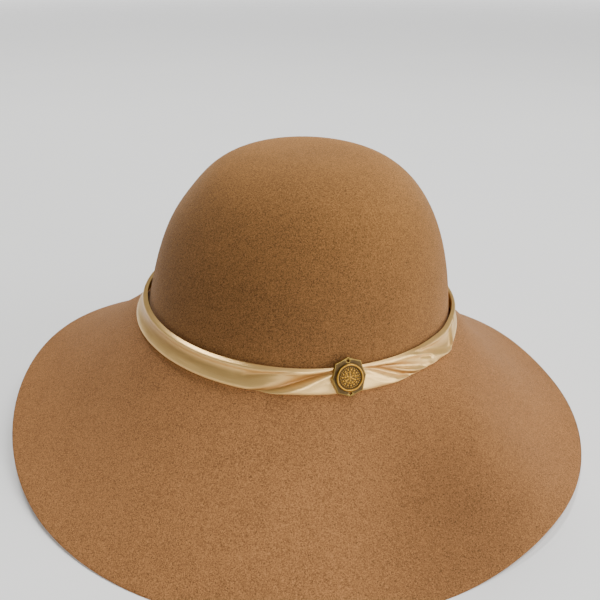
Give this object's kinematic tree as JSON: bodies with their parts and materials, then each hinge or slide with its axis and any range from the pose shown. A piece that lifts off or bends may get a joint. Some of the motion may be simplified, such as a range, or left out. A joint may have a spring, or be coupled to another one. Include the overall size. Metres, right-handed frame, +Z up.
{
  "type": "floppy hat",
  "caption": "Wide-brimmed floppy felt hat with a round crown, a falling brim, a gathered satin band and a small brass medallion.",
  "frame": {"origin": "centre of the bounding box at the surface the brim edge rests on", "axes": "+Z up through the crown, -Y towards the front of the hat, +X towards the wearer's left"},
  "size_m": [0.3438, 0.362, 0.1644],
  "materials": {
    "felt": "brushed wool felt, camel tan, short nap",
    "satin": "champagne satin, glossy, gathered",
    "aged_brass": "dark antique brass, bevelled plate",
    "relief_brass": "antique brass relief, rubbed bright on its high places"
  },
  "bodies": {
    "root": {"felt_body": "felt", "satin_band": "satin", "medallion_plate": "aged_brass", "medallion_disc": "relief_brass"}
  },
  "joints": []
}
